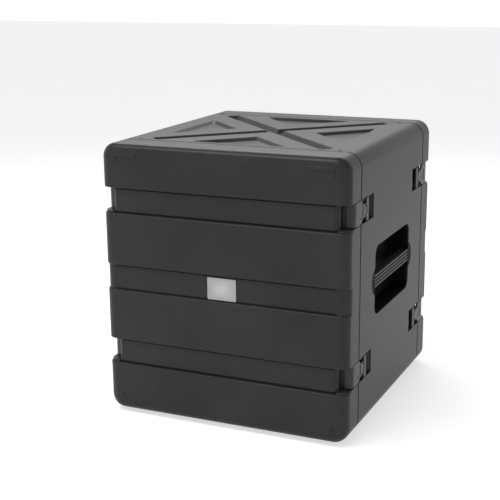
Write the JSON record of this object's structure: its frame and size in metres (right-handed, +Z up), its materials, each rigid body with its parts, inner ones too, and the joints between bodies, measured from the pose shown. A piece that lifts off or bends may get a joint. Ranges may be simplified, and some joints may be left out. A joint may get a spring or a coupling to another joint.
{
  "type": "equipment rack case",
  "caption": "Moulded equipment rack case with lift-off front and rear lids, draw latches, recessed side grips, rack rails and an X-ribbed stacking top.",
  "frame": {"origin": "floor level, under the middle of the case", "axes": "+X to the right seen from the front, -Y out of the front lid, +Z up"},
  "size_m": [0.56, 0.588, 0.604],
  "materials": {
    "case_plastic": "fine leather-grain moulded black plastic",
    "latch_plastic": "satin black glass-filled plastic",
    "dish_plastic": "matte black moulded plastic",
    "grip_rubber": "ribbed grey-black rubber",
    "seal_rubber": "black sponge rubber",
    "foot_rubber": "black rubber",
    "rail_steel": "black powder coat",
    "bright_steel": "zinc plated",
    "badge_metal": "satin silver"
  },
  "bodies": {
    "case": {"case_shell": "case_plastic", "right_handle_dish": "dish_plastic", "right_handle_axle": "bright_steel", "left_handle_dish": "dish_plastic", "left_handle_axle": "bright_steel", "front_right_rack_rail": "rail_steel", "front_right_foot": "foot_rubber", "front_right_rail_screw_lower": "bright_steel", "front_right_rail_screw_upper": "bright_steel", "front_right_upper_latch_lever_pin": "bright_steel", "front_right_lower_latch_lever_pin": "bright_steel", "front_left_rack_rail": "rail_steel", "front_left_foot": "foot_rubber", "front_left_rail_screw_lower": "bright_steel", "front_left_rail_screw_upper": "bright_steel", "front_left_upper_latch_lever_pin": "bright_steel", "front_left_lower_latch_lever_pin": "bright_steel", "rear_right_rack_rail": "rail_steel", "rear_right_foot": "foot_rubber", "rear_right_rail_screw_lower": "bright_steel", "rear_right_rail_screw_upper": "bright_steel", "rear_right_upper_latch_lever_pin": "bright_steel", "rear_right_lower_latch_lever_pin": "bright_steel", "rear_left_rack_rail": "rail_steel", "rear_left_foot": "foot_rubber", "rear_left_rail_screw_lower": "bright_steel", "rear_left_rail_screw_upper": "bright_steel", "rear_left_upper_latch_lever_pin": "bright_steel", "rear_left_lower_latch_lever_pin": "bright_steel"},
    "front_lid": {"front_lid_shell": "case_plastic", "front_lid_seal": "seal_rubber", "badge_plate": "badge_metal"},
    "rear_lid": {"rear_lid_shell": "case_plastic", "rear_lid_seal": "seal_rubber"},
    "right_grip": {"right_handle_grip": "grip_rubber"},
    "left_grip": {"left_handle_grip": "grip_rubber"},
    "front_right_upper_lever": {"front_right_upper_latch_lever": "latch_plastic", "front_right_upper_latch_hook_pin": "bright_steel"},
    "front_right_upper_hook": {"front_right_upper_latch_hook": "latch_plastic"},
    "front_right_lower_lever": {"front_right_lower_latch_lever": "latch_plastic", "front_right_lower_latch_hook_pin": "bright_steel"},
    "front_right_lower_hook": {"front_right_lower_latch_hook": "latch_plastic"},
    "front_left_upper_lever": {"front_left_upper_latch_lever": "latch_plastic", "front_left_upper_latch_hook_pin": "bright_steel"},
    "front_left_upper_hook": {"front_left_upper_latch_hook": "latch_plastic"},
    "front_left_lower_lever": {"front_left_lower_latch_lever": "latch_plastic", "front_left_lower_latch_hook_pin": "bright_steel"},
    "front_left_lower_hook": {"front_left_lower_latch_hook": "latch_plastic"},
    "rear_right_upper_lever": {"rear_right_upper_latch_lever": "latch_plastic", "rear_right_upper_latch_hook_pin": "bright_steel"},
    "rear_right_upper_hook": {"rear_right_upper_latch_hook": "latch_plastic"},
    "rear_right_lower_lever": {"rear_right_lower_latch_lever": "latch_plastic", "rear_right_lower_latch_hook_pin": "bright_steel"},
    "rear_right_lower_hook": {"rear_right_lower_latch_hook": "latch_plastic"},
    "rear_left_upper_lever": {"rear_left_upper_latch_lever": "latch_plastic", "rear_left_upper_latch_hook_pin": "bright_steel"},
    "rear_left_upper_hook": {"rear_left_upper_latch_hook": "latch_plastic"},
    "rear_left_lower_lever": {"rear_left_lower_latch_lever": "latch_plastic", "rear_left_lower_latch_hook_pin": "bright_steel"},
    "rear_left_lower_hook": {"rear_left_lower_latch_hook": "latch_plastic"}
  },
  "joints": [
    {"name": "front_lid_pull", "type": "slide", "parent": "case", "child": "front_lid", "axis": [0, -1, 0], "range_m": [0, 0.15]},
    {"name": "rear_lid_pull", "type": "slide", "parent": "case", "child": "rear_lid", "axis": [0, 1, 0], "range_m": [0, 0.15]},
    {"name": "right_grip_swivel", "type": "hinge", "parent": "case", "child": "right_grip", "pos_m": [0.268, 0, 0.314], "axis": [0, 1, 0], "range_deg": [-20, 20]},
    {"name": "left_grip_swivel", "type": "hinge", "parent": "case", "child": "left_grip", "pos_m": [-0.268, 0, 0.314], "axis": [0, 1, 0], "range_deg": [-20, 20]},
    {"name": "front_right_upper_lever_swing", "type": "hinge", "parent": "case", "child": "front_right_upper_lever", "pos_m": [0.27, -0.205, 0.4835], "axis": [0, 0, -1], "range_deg": [0, 85]},
    {"name": "front_right_upper_hook_swing", "type": "hinge", "parent": "front_right_upper_lever", "child": "front_right_upper_hook", "pos_m": [0.2766, -0.1905, 0.4835], "axis": [0, 0, 1], "range_deg": [0, 105]},
    {"name": "front_right_lower_lever_swing", "type": "hinge", "parent": "case", "child": "front_right_lower_lever", "pos_m": [0.27, -0.205, 0.1455], "axis": [0, 0, -1], "range_deg": [0, 85]},
    {"name": "front_right_lower_hook_swing", "type": "hinge", "parent": "front_right_lower_lever", "child": "front_right_lower_hook", "pos_m": [0.2766, -0.1905, 0.1455], "axis": [0, 0, 1], "range_deg": [0, 105]},
    {"name": "front_left_upper_lever_swing", "type": "hinge", "parent": "case", "child": "front_left_upper_lever", "pos_m": [-0.27, -0.205, 0.4835], "axis": [0, 0, 1], "range_deg": [0, 85]},
    {"name": "front_left_upper_hook_swing", "type": "hinge", "parent": "front_left_upper_lever", "child": "front_left_upper_hook", "pos_m": [-0.2766, -0.1905, 0.4835], "axis": [0, 0, -1], "range_deg": [0, 105]},
    {"name": "front_left_lower_lever_swing", "type": "hinge", "parent": "case", "child": "front_left_lower_lever", "pos_m": [-0.27, -0.205, 0.1455], "axis": [0, 0, 1], "range_deg": [0, 85]},
    {"name": "front_left_lower_hook_swing", "type": "hinge", "parent": "front_left_lower_lever", "child": "front_left_lower_hook", "pos_m": [-0.2766, -0.1905, 0.1455], "axis": [0, 0, -1], "range_deg": [0, 105]},
    {"name": "rear_right_upper_lever_swing", "type": "hinge", "parent": "case", "child": "rear_right_upper_lever", "pos_m": [0.27, 0.205, 0.4835], "axis": [0, 0, 1], "range_deg": [0, 85]},
    {"name": "rear_right_upper_hook_swing", "type": "hinge", "parent": "rear_right_upper_lever", "child": "rear_right_upper_hook", "pos_m": [0.2766, 0.1905, 0.4835], "axis": [0, 0, -1], "range_deg": [0, 105]},
    {"name": "rear_right_lower_lever_swing", "type": "hinge", "parent": "case", "child": "rear_right_lower_lever", "pos_m": [0.27, 0.205, 0.1455], "axis": [0, 0, 1], "range_deg": [0, 85]},
    {"name": "rear_right_lower_hook_swing", "type": "hinge", "parent": "rear_right_lower_lever", "child": "rear_right_lower_hook", "pos_m": [0.2766, 0.1905, 0.1455], "axis": [0, 0, -1], "range_deg": [0, 105]},
    {"name": "rear_left_upper_lever_swing", "type": "hinge", "parent": "case", "child": "rear_left_upper_lever", "pos_m": [-0.27, 0.205, 0.4835], "axis": [0, 0, -1], "range_deg": [0, 85]},
    {"name": "rear_left_upper_hook_swing", "type": "hinge", "parent": "rear_left_upper_lever", "child": "rear_left_upper_hook", "pos_m": [-0.2766, 0.1905, 0.4835], "axis": [0, 0, 1], "range_deg": [0, 105]},
    {"name": "rear_left_lower_lever_swing", "type": "hinge", "parent": "case", "child": "rear_left_lower_lever", "pos_m": [-0.27, 0.205, 0.1455], "axis": [0, 0, -1], "range_deg": [0, 85]},
    {"name": "rear_left_lower_hook_swing", "type": "hinge", "parent": "rear_left_lower_lever", "child": "rear_left_lower_hook", "pos_m": [-0.2766, 0.1905, 0.1455], "axis": [0, 0, 1], "range_deg": [0, 105]}
  ],
  "couplings": [
    {"joint": "front_right_upper_hook_swing", "follows": "front_right_upper_lever_swing", "ratio": 1.235},
    {"joint": "front_right_lower_hook_swing", "follows": "front_right_lower_lever_swing", "ratio": 1.235},
    {"joint": "front_left_upper_hook_swing", "follows": "front_left_upper_lever_swing", "ratio": 1.235},
    {"joint": "front_left_lower_hook_swing", "follows": "front_left_lower_lever_swing", "ratio": 1.235},
    {"joint": "rear_right_upper_hook_swing", "follows": "rear_right_upper_lever_swing", "ratio": 1.235},
    {"joint": "rear_right_lower_hook_swing", "follows": "rear_right_lower_lever_swing", "ratio": 1.235},
    {"joint": "rear_left_upper_hook_swing", "follows": "rear_left_upper_lever_swing", "ratio": 1.235},
    {"joint": "rear_left_lower_hook_swing", "follows": "rear_left_lower_lever_swing", "ratio": 1.235}
  ]
}
